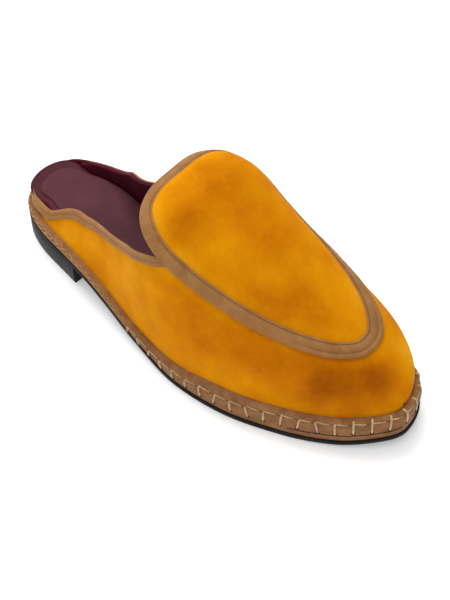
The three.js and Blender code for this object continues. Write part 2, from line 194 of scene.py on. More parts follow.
def lastSection(turn):
    if turn not in sectionStore:
        outer = outlinePoint(turn, "outer", shoe["feather"])
        inner = outlinePoint(turn, "inner", shoe["feather"])
        middle = (outer + inner) / 2
        spot = turnOf(middle.y / shoe["length"])
        sectionStore[turn] = (middle, (inner - outer) / 2, profile("feather", middle.y),
                              [curve(spot) for curve in sectionCurves])
    return sectionStore[turn]


def inUnit(cosine, power):
    return math.copysign(abs(cosine) ** (2 / power), cosine)


def lastPoint(turn, angle):
    middle, reach, foot, (ridge, shift, sides, top, outerLean, innerLean) = lastSection(turn)
    up = abs(math.sin(angle)) ** (2 / top)
    lean = outerLean if angle > math.pi / 2 else innerLean
    out = inUnit(math.cos(angle), sides) * (1 - lean * up)
    spot = middle + reach * out
    return place(spot.x + shift * up, spot.y, foot + (ridge - foot) * up)


# The point of the last's wall at a given height
def wallPoint(turn, side, up):
    foot, section = lastSection(turn)[2:]
    ridge, top = section[0], section[3]
    nearRidge = 0.98
    share = clamp((up - foot) / (ridge - foot), 0.0, nearRidge)
    angle = math.asin(share ** (top / 2))
    point = lastPoint(turn, math.pi - angle if side == "outer" else angle)
    point.z = up / 1000
    return point


# A square grid laid over a surface; some of its rows may take the second material
def gridMesh(columns, rows, surface, pileAndPaintedLight=False, lining=None):
    bm = bmesh.new()
    if pileAndPaintedLight:
        bm.verts.layers.float.new("pileAndPaintedLight")
    bmesh.ops.create_grid(bm, x_segments=columns, y_segments=rows, size=0.5)
    share = {vert: (vert.co.x + 0.5, vert.co.y + 0.5) for vert in bm.verts}
    if lining:
        for face in bm.faces:
            face.material_index = int(lining[0] < face.calc_center_median().y + 0.5 < lining[1])
    for vert, (u, v) in share.items():
        vert.co = surface(u, v)
    bmesh.ops.remove_doubles(bm, verts=bm.verts, dist=mergeWithin["grid"])
    return bm


def facedOut(bm):
    bmesh.ops.recalc_face_normals(bm, faces=bm.faces)
    middle = sum((vert.co for vert in bm.verts), Vector()) / len(bm.verts)
    outwards = sum((face.calc_center_median() - middle).dot(face.normal) * face.calc_area()
                   for face in bm.faces)
    if outwards < 0:
        bmesh.ops.reverse_faces(bm, faces=bm.faces)
    return bm


# Cuts a mesh where a measure changes sign, and keeps the positive side
def trimMesh(bm, measureAll):
    bm.verts.ensure_lookup_table()
    values = dict(zip(bm.verts, measureAll(list(bm.verts))))
    cut = []
    for edge in list(bm.edges):
        a, b = edge.verts
        if values[a] * values[b] < 0:
            share = values[a] / (values[a] - values[b])
            vert = bmesh.utils.edge_split(edge, a, share)[1]
            values[vert] = 0
            cut.append(vert)
    bmesh.ops.connect_verts(bm, verts=cut)
    gone = [face for face in bm.faces if sum(values[vert] for vert in face.verts) < 0]
    bmesh.ops.delete(bm, geom=gone, context="FACES")
    loose = [vert for vert in bm.verts if not vert.link_faces]
    bmesh.ops.delete(bm, geom=loose, context="VERTS")


def makePiece(name, bm, materials, replaces=()):
    mesh = bpy.data.meshes.new(name)
    bm.to_mesh(mesh)
    bm.free()
    for face in mesh.polygons:
        face.use_smooth = True
    for material in materials:
        mesh.materials.append(material)
    piece = bpy.data.objects.new(name, mesh)
    scene.collection.objects.link(piece)
    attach(piece, "root")
    if replaces:
        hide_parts(*replaces)
    return piece


def bakeModifiers(piece):
    made = bpy.data.meshes.new_from_object(piece.evaluated_get(bpy.context.evaluated_depsgraph_get()))
    made.name = piece.name
    piece.modifiers.clear()
    piece.data = made


# Colours and node helpers
def colour(code):
    parts = [int(code[i:i + 2], 16) / 255 for i in (1, 3, 5)]
    return tuple(((c + 0.055) / 1.055) ** 2.4 if c > 0.04 else c / 12.92 for c in parts) + (1,)


class Shader:
    def __init__(self, name, roughness, **sockets):
        self.material = bpy.data.materials.new(name)
        self.material.use_nodes = True
        self.tree = self.material.node_tree
        self.main = self.tree.nodes["Principled BSDF"]
        self.main.inputs["Roughness"].default_value = roughness
        for socket, value in sockets.items():
            self.main.inputs[socket.replace("_", " ")].default_value = value
        self.coords = self.tree.nodes.new("ShaderNodeTexCoord")

    def add(self, kind, **settings):
        node = self.tree.nodes.new("ShaderNode" + kind)
        for name, value in settings.items():
            setattr(node, name, value)
        return node

    def link(self, source, target):
        self.tree.links.new(source, target)

    def noise(self, scale, detail=3.0, rough=0.5, stretch=None):
        node = self.add("TexNoise")
        node.inputs["Scale"].default_value = scale
        node.inputs["Detail"].default_value = detail
        node.inputs["Roughness"].default_value = rough
        source = self.coords.outputs["Object"]
        if stretch:
            mapping = self.add("Mapping")
            mapping.inputs["Scale"].default_value = stretch
            self.link(source, mapping.inputs["Vector"])
            source = mapping.outputs["Vector"]
        self.link(source, node.inputs["Vector"])
        return node.outputs["Fac"]

    def cells(self, scale):
        node = self.add("TexVoronoi")
        node.inputs["Scale"].default_value = scale
        self.link(self.coords.outputs["Object"], node.inputs["Vector"])
        return node.outputs["Distance"]

    def math(self, operation, a, b, limit=False):
        node = self.add("Math", operation=operation, use_clamp=limit)
        for socket, value in zip(node.inputs, (a, b)):
            if isinstance(value, (int, float)):
                socket.default_value = value
            else:
                self.link(value, socket)
        return node.outputs[0]

    def ramp(self, factor, stops):
        node = self.add("ValToRGB")
        steps = node.color_ramp.elements
        for i, (position, tone) in enumerate(stops):
            step = steps[i] if i < 2 else steps.new(position)
            step.position = position
            step.color = colour(tone)
        self.link(factor, node.inputs["Fac"])
        return node.outputs["Color"]

    def bump(self, heights):
        before = None
        for height, strength, distance in heights:
            node = self.add("Bump")
            node.inputs["Strength"].default_value = strength
            node.inputs["Distance"].default_value = distance
            self.link(height, node.inputs["Height"])
            if before:
                self.link(before, node.inputs["Normal"])
            before = node.outputs["Normal"]
        self.link(before, self.main.inputs["Normal"])

    def paint(self, tone):
        self.link(tone, self.main.inputs["Base Color"])


# Velvet: the pile lies over in soft patches, mixed with painted shade and painted highlights, which an
# attribute places
velvet = {"deep": "#964c00", "shade": "#b96900", "body": "#cf8400", "light": "#e09c18",
          "sheen": "#ffae2a", "sheenWeight": 0.2, "roughness": 0.9, "level": 0.55,
          "broadScale": 62, "broad": 0.58, "fineScale": 420, "fine": 0.16,
          "pileScale": 1500, "pileDepth": 0.0003, "brushScale": 260, "brushDepth": 0.0006}


def velvetMaterial():
    shader = Shader("velvet", velvet["roughness"], Sheen_Weight=velvet["sheenWeight"],
                    Sheen_Roughness=0.4, Sheen_Tint=colour(velvet["sheen"]), Specular_IOR_Level=0.05)
    # The attribute carries the pile's patches together with painted shade and painted highlights
    pileAndPaintedLight = shader.add("Attribute", attribute_name="pileAndPaintedLight")
    broadNoise = shader.noise(velvet["broadScale"], 3, 0.5)
    fineNoise = shader.noise(velvet["fineScale"], 2, 0.6)
    broad = shader.math("MULTIPLY", shader.math("SUBTRACT", broadNoise, 0.5), velvet["broad"])
    fine = shader.math("MULTIPLY", shader.math("SUBTRACT", fineNoise, 0.5), velvet["fine"])
    factor = shader.math("ADD", shader.math("ADD", broad, fine), pileAndPaintedLight.outputs["Fac"])
    factor = shader.math("ADD", factor, velvet["level"], limit=True)
    shader.paint(shader.ramp(factor, [(0.02, velvet["deep"]), (0.98, velvet["light"]),
                                      (0.32, velvet["shade"]), (0.62, velvet["body"])]))
    pile = shader.noise(velvet["pileScale"], 3, 0.7)
    brushed = shader.noise(velvet["brushScale"], 3, 0.6, stretch=(1.0, 0.35, 1.0))
    shader.bump([(brushed, 0.25, velvet["brushDepth"]), (pile, 0.35, velvet["pileDepth"])])
    return shader.material


def leatherMaterial(name, tones, roughness, grain, depth, mottle):
    strength = 0.35
    shader = Shader(name, roughness, Specular_IOR_Level=0.12)
    patches = shader.noise(mottle, 4, 0.6)
    shader.paint(shader.ramp(patches, [(0.3, tones[0]), (0.72, tones[2]), (0.5, tones[1])]))
    pores = shader.cells(grain)
    creases = shader.noise(grain * 0.4, 4, 0.65)
    shader.bump([(pores, strength, depth), (creases, strength, depth)])
    return shader.material


def threadMaterial(name, tones):
    shader = Shader(name, 0.7, Sheen_Weight=0.2, Specular_IOR_Level=0.25)
    shader.paint(shader.ramp(shader.noise(700, 2), [(0.3, tones[0]), (0.7, tones[1])]))
    twist = shader.noise(2600, 2, 0.5, stretch=(1, 1, 0.3))
    shader.bump([(twist, 0.5, 0.0002)])
    return shader.material


leathers = {  # three tones, roughness, scale of the grain, its depth in metres, scale of the mottling
    "bindingLeather": (("#8b5e33", "#95683a", "#9e7141"), 0.55, 1100, 0.00018, 120),
    "liningLeather": (("#420c1c", "#4e1224", "#58182b"), 0.6, 800, 0.00012, 50),
    "insoleLeather": (("#400517", "#48091c", "#500f22"), 0.5, 900, 0.0001, 45),
    "sockLeather": (("#4c272d", "#532c32", "#5a3238"), 0.7, 1000, 0.00015, 40),
    "wrapLeather": (("#714a29", "#865c37", "#966c46"), 0.6, 700, 0.00025, 140),
    "outsoleRubber": (("#161517", "#1d1c1f", "#262529"), 0.6, 1400, 0.00008, 70),
    "heelBlock": (("#232527", "#2b2d2f", "#353739"), 0.5, 1200, 0.0001, 50),
    # The last row is near black: the toe seam's colour, and painted shade for the needle holes and the
    # line under the wrap's strip
    "darkSeamAndPaintedShade": (("#120a06", "#1a0f09", "#20130c"), 0.9, 900, 0.0002, 60)}
# The cream thread's darker tone is its colour in shade: noise flecks it with painted shade
threads = {"creamThreadAndShade": ("#9c7c52", "#cdb088"), "goldThread": ("#84602f", "#b5874c"),
           "darkThread": ("#4a2e18", "#66452a")}
finish = {"velvet": velvetMaterial()}
for name, row in leathers.items():
    finish[name] = leatherMaterial(name, *row)
for name, tones in threads.items():
    finish[name] = threadMaterial(name, tones)
print("materials made")

# The whole last as a fine mesh, to find places and directions on it
form = {"columns": 300, "rows": 110}
formBm = gridMesh(form["columns"], form["rows"], lambda u, v: lastPoint(math.pi * u, math.pi * (1 - v)))
facedOut(formBm)
formBm.normal_update()
formBm.faces.ensure_lookup_table()
formTree = BVHTree.FromBMesh(formBm)


def smoothNormal(index, spot):
    corners = formBm.faces[index].verts
    weights = poly_3d_calc([corner.co for corner in corners], spot)
    total = Vector((0, 0, 0))
    for corner, weight in zip(corners, weights):
        total += corner.normal * weight
    return total.normalized()


# A point near the last, set on it and then out from it
def lifted(point, height):
    spot, _, index, _ = formTree.find_nearest(point)
    return point + smoothNormal(index, spot) * (height / 1000)


# The apron's edge as a closed smooth curve on the last
def closedCurve(points, count):
    size = len(points)
    stepsEach = 60
    fine = []
    for i in range(size):
        a, b, c, d = (points[(i + k - 1) % size] for k in range(4))
        stepA, stepB, stepC = ((q - p).length ** 0.5 for p, q in ((a, b), (b, c), (c, d)))
        leave = ((b - a) / stepA - (c - a) / (stepA + stepB) + (c - b) / stepB) * stepB
        arrive = ((c - b) / stepB - (d - b) / (stepB + stepC) + (d - c) / stepC) * stepB
        for k in range(stepsEach):
            t = k / stepsEach
            fine.append(b + leave * t + (b * -3 + c * 3 - leave * 2 - arrive) * t * t
                        + (b * 2 - c * 2 + leave + arrive) * t ** 3)
    lengths = [0.0]
    for p, q in zip(fine, fine[1:] + fine[:1]):
        lengths.append(lengths[-1] + (q - p).length)
    ring = []
    j = 0
    for i in range(count):
        goal = lengths[-1] * i / count
        while lengths[j + 1] < goal:
            j += 1
        share = (goal - lengths[j]) / (lengths[j + 1] - lengths[j])
        ring.append(fine[j].lerp(fine[(j + 1) % len(fine)], share))
    return ring


# The core is a line inside the last, from which the edge's stations are looked at
apron = {"stations": 420, "coreAcross": 7, "coreBack": 130, "coreFront": 198, "coreUp": 34}
apronRing = closedCurve([place(*row) for row in apronOutline], apron["stations"])


def apronStation(i):
    count = apron["stations"]
    point = apronRing[i % count]
    tangent = (apronRing[(i + 1) % count] - apronRing[(i - 1) % count]).normalized()
    along = clamp(alongOf(point), apron["coreBack"], apron["coreFront"])
    core = place(apron["coreAcross"], along, apron["coreUp"])
    inward = (point - core).cross(tangent).normalized()
    return core, point, inward


apronStations = [apronStation(i) for i in range(apron["stations"])]


# A point over the last, at an inset from the apron's edge and a height
def overApron(i, inset, height):
    core, point, inward = apronStations[i % apron["stations"]]
    goal = point + inward * (inset / 1000)
    spot, _, index, _ = formTree.ray_cast(core, (goal - core).normalized())
    if spot is None:
        spot, _, index, _ = formTree.find_nearest(goal)
    return spot + smoothNormal(index, spot) * (height / 1000)


# Distance inside a closed line on the last, in millimetres, for many points at once
def insideOf(inset):
    batch = 2000
    picked = range(0, apron["stations"], 2)
    ring = np.array([overApron(i, inset, 0) for i in picked])
    inward = np.array([apronStations[i][2] for i in picked])

    def measure(points):
        spots = np.array([tuple(p) for p in points])
        result = []
        for start in range(0, len(spots), batch):
            part = spots[start:start + batch]
            offset = part[:, None, :] - ring[None]
            distance = np.linalg.norm(offset, axis=2)
            nearest = distance.argmin(axis=1)
            pick = np.arange(len(part))
            side = (offset[pick, nearest] * inward[nearest]).sum(axis=1)
            gap = distance[pick, nearest]
            close = np.abs(side) / np.maximum(gap, 1e-9) > 0.5
            result.extend(np.where(close, side, np.sign(side) * gap) * 1000)
        return result
    return measure


def sideOf(point):
    return "outer" if acrossOf(point) < apron["coreAcross"] else "inner"


def belowTopline(point, lowered=0.0):
    return toplineCurves[sideOf(point)](alongOf(point)) - lowered - point.z * 1000


print("last and apron line ready")

# Where the velvet is painted dark (below 0) or light: partly pile lying over, partly painted shade on the
# sides turned from the light and painted highlights; and the soft creases of the upper
pileAndPaintedLightPatches = [  # across, along, up, radius, strength
    (-11, 131, 98, 10, -0.34), (16, 130, 100, 16, -0.24), (12, 152, 89, 15, -0.14),
    (12, 163, 84, 12, -0.12), (3, 195, 67, 20, -0.1), (-4, 179, 74, 12, -0.1),
    (-20, 131, 93, 8, -0.12), (-1, 171, 79, 9, 0.16), (-12, 149, 86, 9, 0.16),
    (30, 186, 68, 14, 0.16), (-16, 116, 98, 8, 0.14), (27, 112, 97, 12, 0.12), (27, 209, 60, 12, 0.2),
    (-9, 229, 41, 19, -0.36), (13, 242, 40, 14, -0.3), (1, 238, 42, 14, -0.16), (-16, 214, 47, 20, -0.24),
    (-32, 189, 42, 14, -0.12), (-34, 191, 30, 8, 0.2), (-40, 163, 31, 12, 0.12),
    (-39, 159, 41, 8, -0.2), (-31, 155, 63, 18, -0.2), (-22, 187, 57, 22, -0.3),
    (-40, 124, 56, 16, 0.1), (-40, 138, 49, 8, -0.12), (-25, 44, 28, 14, 0.18),
    (-26, 63, 39, 12, 0.14), (-32, 100, 45, 20, 0.12), (31, 240, 36, 10, 0.3),
    (44, 184, 48, 26, -0.42), (42, 211, 45, 16, -0.24), (28, 99, 30, 14, 0.24),
    (44, 157, 57, 16, -0.2), (24, 78, 30, 12, 0.18), (30, 239, 38, 10, 0.2)]
creases = [  # across, along, up at each end, width, depth
    ((-38, 118, 60), (-44, 138, 30), 9, 0.5), ((-33, 92, 44), (-37, 104, 20), 8, 0.45),
    ((-40, 150, 50), (-41, 168, 28), 8, 0.35), ((36, 112, 62), (42, 132, 32), 10, 0.5),
    ((46, 150, 52), (50, 166, 30), 8, 0.35), ((-6, 236, 42), (16, 247, 36), 7, 0.25)]
pileAndPaintedLightLimits = {"strength": 0.85, "darkest": -0.42}
crease = {"flat": 0.3, "fade": 1.6, "foldRise": 0.6, "foldAt": 0.6, "foldSharp": 4, "valleySharp": 6}


# How dark or light the velvet is painted at a point, from pile patches, painted shade and painted
# highlights
def pileAndPaintedLightAt(point):
    total = 0.0
    for across, along, up, radius, strength in pileAndPaintedLightPatches:
        gap = (point - place(across, along, up)).length * 1000 / radius
        total += strength * math.exp(-gap * gap)
    return max(total * pileAndPaintedLightLimits["strength"], pileAndPaintedLightLimits["darkest"])


# Height of the soft folds at a point: a shallow valley between two low ridges
def creaseAt(point):
    total = 0.0
    for start, end, width, depth in creases:
        a, b = place(*start), place(*end)
        run = b - a
        t = (point - a).dot(run) / run.length_squared
        gap = (point - a - run * clamp(t)).length * 1000 / width
        fade = 1 - clamp(abs(t - 0.5) - crease["flat"], 0, 0.5) * crease["fade"]
        rise = crease["foldRise"] * math.exp(-crease["foldSharp"] * (gap - crease["foldAt"]) ** 2)
        total += depth * fade * (rise - math.exp(-crease["valleySharp"] * gap * gap))
    return total


def pileAndPaintedLightLayer(bm, extra):
    layer = bm.verts.layers.float["pileAndPaintedLight"]
    for vert in bm.verts:
        vert[layer] = pileAndPaintedLightAt(vert.co) + extra(vert)


# Upper: one wall from the feather line to the topline and under the apron, lined inside
upper = {"columns": 230, "rows": 112, "back": 14.0, "tuck": 1.2, "lap": 1.4,
         "creaseFrom": 1, "creaseTo": 8, "edgeHighlight": 0.1, "edgeHighlightAt": 2.5, "edgeHighlightWide": 3}


# The grid runs from foot to foot; its first and last rows hang down into the midsole
def upperSurface(u, v):
    turn = mix(turnAt(upper["back"]), math.pi, u)
    edge = 2 / upper["rows"]
    point = lastPoint(turn, math.pi * (1 - clamp((v - edge) / (1 - 2 * edge))))
    if v < edge / 2 or v > 1 - edge / 2:
        point.z -= upper["tuck"] / 1000
    return point


# Above 0 where the upper stays: below the topline, or under the apron
def keptUpper(verts):
    below = [belowTopline(vert.co, upper["lap"]) for vert in verts]
    underApron = underLap([vert.co for vert in verts])
    return [max(pair) for pair in zip(below, underApron)]


underLap = insideOf(upper["lap"])
upperBm = gridMesh(upper["columns"], upper["rows"], upperSurface, pileAndPaintedLight=True)
facedOut(upperBm)
trimMesh(upperBm, keptUpper)
upperBm.normal_update()
gaps = insideOf(0)([vert.co for vert in upperBm.verts])
for vert, gap in zip(upperBm.verts, gaps):
    if gap < 0:
        height = creaseAt(vert.co) * smooth(-gap, upper["creaseFrom"], upper["creaseTo"])
        vert.co += vert.normal * (height / 1000)
near = dict(zip(upperBm.verts, gaps))
# Painted highlight: the velvet is painted lighter in a band just outside the apron's edge
pileAndPaintedLightLayer(upperBm, lambda vert: upper["edgeHighlight"] * math.exp(
    -((near[vert] + upper["edgeHighlightAt"]) / upper["edgeHighlightWide"]) ** 2))
upperPiece = makePiece("upper_velvet", upperBm, [finish["velvet"], finish["liningLeather"]],
                       ["upper"])
wall = upperPiece.modifiers.new("wall", "SOLIDIFY")
wall.thickness = shoe["wall"] / 1000
wall.offset = -1
wall.material_offset = 1
wall.material_offset_rim = 1
bakeModifiers(upperPiece)
print("upper:", len(upperPiece.data.polygons), "faces")

# Apron: a soft pad that starts under the binding's inner edge and swells towards the middle
pad = {"start": 7.6, "low": 0.5, "edge": 1.5, "swell": 1.5, "columns": 300, "rows": 120, "back": 88,
       "front": 236, "fromOuter": 0.92, "toInner": 0.08, "edgeWide": 4.5, "edgeRound": 0.6,
       "swellFrom": 2, "swellTo": 18, "rimHighlight": 0.16, "rimHighlightAt": 2.5, "rimHighlightWide": 4, "backing": 0.6}


def padSurface(u, v):
    turn = mix(turnAt(pad["back"]), turnAt(pad["front"]), u)
    return lastPoint(turn, math.pi * mix(pad["fromOuter"], pad["toInner"], v))


padInside = insideOf(pad["start"])
padBm = gridMesh(pad["columns"], pad["rows"], padSurface, pileAndPaintedLight=True)
facedOut(padBm)
trimMesh(padBm, lambda verts: padInside([vert.co for vert in verts]))
padBm.normal_update()
depths = padInside([vert.co for vert in padBm.verts])
deep = dict(zip(padBm.verts, depths))
# Painted highlight: the pad is painted lighter in a band inside its rim, where it curves down to the
# binding
pileAndPaintedLightLayer(padBm, lambda vert: pad["rimHighlight"] * math.exp(
    -((deep[vert] - pad["rimHighlightAt"]) / pad["rimHighlightWide"]) ** 2))
for vert, depth in zip(padBm.verts, depths):
    rise = pad["edge"] * clamp(depth / pad["edgeWide"]) ** pad["edgeRound"]
    rise += pad["swell"] * smooth(depth, pad["swellFrom"], pad["swellTo"])
    vert.co += vert.normal * ((pad["low"] + rise) / 1000)
padPiece = makePiece("apron_velvet", padBm, [finish["velvet"]], ["apron"])
backing = padPiece.modifiers.new("backing", "SOLIDIFY")
backing.thickness = pad["backing"] / 1000
backing.offset = -1
bakeModifiers(padPiece)
print("apron:", len(padPiece.data.polygons), "faces")

# Apron binding: flat along the sides and toe, folded round the tongue's free edge
# Each row: inset and height where it lies flat, then where it is folded
binding = {"freeFrom": 0.3, "freeTo": 3.2, "creaseFrom": 2.2, "creaseTo": 3.1, "toeCrease": 0.45,
           "toeFrom": 195, "toeTo": 215}
bindingRows = [
    (0.2, 0.15, 6.4, -1.95), (0.1, 0.15, 6.5, -2.35), (0.05, 0.15, 6.2, -2.6), (0.0, 0.15, 2.0, -2.7),
    (-0.02, 0.2, 0.5, -2.5), (-0.04, 0.3, -0.1, -1.9), (-0.08, 0.5, -0.35, -0.9),
    (-0.1, 0.8, -0.38, 0.2), (0.0, 1.15, -0.15, 1.0), (0.35, 1.5, 0.35, 1.5), (1.0, 1.68, 1.0, 1.7),
    (1.9, 1.72, 1.9, 1.75), (2.5, 1.6, 2.5, 1.72), (2.8, 1.6, 2.8, 1.72), (3.4, 1.76, 3.4, 1.8),
    (5.0, 1.78, 5.0, 1.82), (6.6, 1.7, 6.6, 1.75), (7.3, 1.52, 7.3, 1.6), (7.6, 1.5, 7.6, 1.58),
    (8.2, 1.6, 8.2, 1.68), (8.65, 1.4, 8.65, 1.5), (8.9, 1.0, 8.9, 1.1), (8.95, 0.5, 8.95, 0.5),
    (8.6, 0.15, 8.6, 0.15), (1.2, 0.12, 1.2, 0.12), (0.6, 0.12, 0.9, -0.9), (0.2, 0.15, 1.1, -1.95)]


# 0 where the binding lies on the upper, 1 where the tongue stands free
def freedom(i):
    point = apronStations[i % apron["stations"]][1]
    return smooth(-belowTopline(point), binding["freeFrom"], binding["freeTo"])


def apronBindingPoint(u, v):
    i = round(u * apron["stations"])
    last = len(bindingRows) - 1
    row = bindingRows[round(v * last) % last]
    free = freedom(i)
    inset, height = mix(row[0], row[2], free), mix(row[1], row[3], free)
    along = alongOf(apronStations[i % apron["stations"]][1])
    if binding["creaseFrom"] < row[0] < binding["creaseTo"]:
        height -= binding["toeCrease"] * smooth(along, binding["toeFrom"], binding["toeTo"])
    return overApron(i, inset, height)


apronBindingBm = gridMesh(apron["stations"], len(bindingRows) - 1, apronBindingPoint)
facedOut(apronBindingBm)
apronBindingPiece = makePiece("apron_binding_leather", apronBindingBm, [finish["bindingLeather"]],
                              ["apron_binding"])
print("apron binding:", len(apronBindingPiece.data.polygons), "faces")

# Topline binding: a narrow fold along both quarters, which runs out round the heel
fold = {"end": 133.0, "stations": 170, "bandBack": 11, "bandFront": 23, "bandFoot": 0.25,
        "bandOut": 0.8, "bandThick": 1.2, "deepest": 5.65, "lowest": -2.0, "rowSpan": 3.3,
        "lining": (0.55, 0.85)}
foldRows = [  # drop below the topline, height over the last
    (5.5, 0.1), (5.65, 0.45), (5.6, 0.85), (5.2, 1.05), (4.2, 1.1), (3.3, 0.95), (2.85, 0.62),
    (2.4, 1.05), (1.7, 1.4), (0.9, 1.35), (0.3, 0.9), (0.02, 0.1), (0.0, -0.7),
    (0.15, -1.4), (0.55, -1.85), (1.2, -2.0), (1.6, -1.85), (1.5, -1.7), (1.3, -0.8), (1.6, 0.1)]


def toplinePoint(u, v):
    drop, height = foldRows[round(v * len(foldRows)) % len(foldRows)]
    side = "outer" if u < 0.5 else "inner"
    turn = turnAt(fold["end"]) * abs(1 - 2 * u)
    along = lastSection(turn)[0].y
    toSide = smooth(along, fold["bandBack"], fold["bandFront"])
    inBand = fold["bandOut"] + (height - fold["lowest"]) / fold["rowSpan"] * fold["bandThick"]
    height = mix(inBand, height, toSide)
    top, foot = toplineCurves[side](along), profile("feather", along) + fold["bandFoot"]
    reach = mix((top - foot) / fold["deepest"], 1, toSide)  # the band spans down to the feather line
    return lifted(wallPoint(turn, side, max(top - drop * reach, foot)), height)


toplineBm = gridMesh(2 * fold["stations"], len(foldRows), toplinePoint, lining=fold["lining"])
facedOut(toplineBm)
ends = [edge for edge in toplineBm.edges if edge.is_boundary]
bmesh.ops.holes_fill(toplineBm, edges=ends, sides=2 * len(foldRows))
toplinePiece = makePiece("topline_binding_leather", toplineBm,
                         [finish["bindingLeather"], finish["liningLeather"]],
                         ["topline_binding"])
print("topline binding:", len(toplinePiece.data.polygons), "faces")


# Fills each open rim of a sole piece with a ladder of faces from its toe to its heel
def closeRims(bm):
    loops = {}
    for edge in bm.edges:
        if edge.is_boundary:
            for vert in edge.verts:
                loops.setdefault(vert, []).append(edge)
    seen = set()
    for start in list(loops):
        if start in seen:
            continue
        ring, vert, last = [], start, None
        while vert not in seen:
            seen.add(vert)
            ring.append(vert)
            edge = next(e for e in loops[vert] if e is not last)
            last, vert = edge, edge.other_vert(vert)
        first = max(range(len(ring)), key=lambda k: ring[k].co.y)
        ring = ring[first:] + ring[:first]
        a, b = 1, len(ring) - 1
        bm.faces.new((ring[0], ring[a], ring[b]))
        while b - a > 2:
            bm.faces.new((ring[a], ring[a + 1], ring[b - 1], ring[b]))
            a, b = a + 1, b - 1
        if b - a == 2:
            bm.faces.new((ring[a], ring[a + 1], ring[b]))


# Sole pieces: rings round the outline, each with an inset and a height
sole = {"steps": 150, "holdFrom": (10, 24), "holdTo": (205, 225)}


def soleMesh(rows, besideWall=None):
    def surface(u, v):
        inset, up = rows[round(v * (len(rows) - 1))]
        side, turn = ("outer", 2 * math.pi * u) if u <= 0.5 else ("inner", 2 * math.pi * (1 - u))
        shift = inset(outlinePoint(turn, side).y, side) if callable(inset) else inset
        spot = outlinePoint(turn, side, shift)
        height = up(spot.y)
        if besideWall is not None:  # kept off the upper's inner face
            hold = smooth(spot.y, *sole["holdFrom"]) * (1 - smooth(spot.y, *sole["holdTo"]))
            wallAcross = acrossOf(wallPoint(turn, side, height))
            within = (max(spot.x, wallAcross + besideWall[0]) if side == "outer"
                      else min(spot.x, wallAcross - besideWall[1]))
            spot.x = mix(spot.x, within, hold)
        return place(spot.x, spot.y, height)
    bm = gridMesh(2 * sole["steps"], len(rows) - 1, surface)
    closeRims(bm)
    return facedOut(bm)


# Midsole: rows of inset and level, with a sunk line under the wrap's upper strip
midsole = {"gap": 0.1, "rise": 0.2, "riseFrom": 180, "riseTo": 214,
           "rows": [(0.9, 0.0), (0.5, 0.05), (0.2, 0.14), (0.05, 0.3), (0.02, 0.45), (0.12, 0.6),
                    (0.35, 0.68), (0.75, 0.71), (0.4, 0.735), (0.38, 0.77), (0.65, 0.83), (1.3, 0.9),
                    (2.4, 0.96), (3.9, 1.0), (6.0, 1.0)]}


# A height on the sole's side; towards the toe the middle of the side rides higher
def midsoleLevel(share):
    def up(along):
        foot = profile("under", along) + shoe["outsole"] + midsole["gap"]
        toe = smooth(along, midsole["riseFrom"], midsole["riseTo"])
        raised = share + midsole["rise"] * toe * math.sin(math.pi * share)
        return mix(foot, profile("feather", along), raised)
    return up


midsoleRings = [(inset, midsoleLevel(share)) for inset, share in midsole["rows"]]
makePiece("midsole_wrap", soleMesh(midsoleRings), [finish["wrapLeather"]], ["midsole"])

# Outsole: rows of inset and height over the underside
outsole = {"rows": [(0.8, 0.0), (0.3, 0.12), (0.0, 0.45), (-0.15, 1.2), (-0.15, 2.4), (0.05, 2.85),
                    (0.8, 3.02)]}
outsoleRings = [(inset, lambda along, rise=rise: profile("under", along) + rise)
                for inset, rise in outsole["rows"]]
makePiece("outsole_rubber", soleMesh(outsoleRings), [finish["outsoleRubber"]],
          ["outsole"])

# Insole and its pad share a footbed, which swells a little at the heel
footbed = {"heelMargin": 3.45, "margin": 6.3, "swell": 1.1, "swellEnd": 30}


def footbedEdge(along):
    ahead = smooth(along, fold["bandBack"], fold["bandFront"])
    return mix(footbed["heelMargin"], footbed["margin"], ahead)


def footbedSwell(along):
    return 1 - smooth(along, 0, footbed["swellEnd"])


insole = {"rollOuter": (0.5, 10), "rollInner": (6, 20), "besideWall": (2.0, 1.5),
          "rows": [  # inset, reach of the rolled rim, rise, heel swell
              (1.4, 0, -3.5, 0), (0.9, 0, -1.9, 1.5), (0.5, 2.0, -1.5, 1.3), (0.3, 2.6, -1.0, 1.1),
              (0.35, 2.6, -0.6, 1.1), (0.75, 2.4, -0.2, 1.1), (1.4, 2.0, 0.0, 1.1),
              (2.4, 1.2, 0.05, 1.1), (4.4, 0.4, 0.05, 1.1), (6, 0, 0.05, 1.1)]}


# The insole's rim rolls out over the wall round the back of the heel
def rollOut(along, side):
    return 1 - smooth(along, *insole["rollOuter" if side == "outer" else "rollInner"])


def insoleRing(inset, reach, rise, swell):
    return (lambda along, side: footbedEdge(along) + inset - reach * rollOut(along, side),
            lambda along: profile("footbed", along) + rise + swell * footbedSwell(along))


insoleRings = [insoleRing(*row) for row in insole["rows"]]
makePiece("insole_leather", soleMesh(insoleRings, insole["besideWall"]), [finish["insoleLeather"]],
          ["insole"])

sock = {"margin": 4.6, "closer": 3.4, "heel": (4, 34), "toe": (205, 240), "besideWall": (5.0, 2.7),
        "rows": [(0.3, 0.0), (0.0, 0.3), (0.05, 0.6), (0.4, 0.88), (1.2, 1.0), (2.4, 1.02)]}


# The pad lies closer to the insole's edge on the inner side and in the toe
def sockEdge(along, side):
    closer = max(smooth(along, *sock["heel"]) * (side == "inner"), smooth(along, *sock["toe"]))
    return footbedEdge(along) + sock["margin"] - sock["closer"] * closer


def sockRing(inset, rise):
    return (lambda along, side: sockEdge(along, side) + inset,
            lambda along: profile("footbed", along) + rise + footbed["swell"] * footbedSwell(along))


sockRings = [sockRing(*row) for row in sock["rows"]]
makePiece("sock_pad", soleMesh(sockRings, sock["besideWall"]), [finish["sockLeather"]],
          ["sock"])

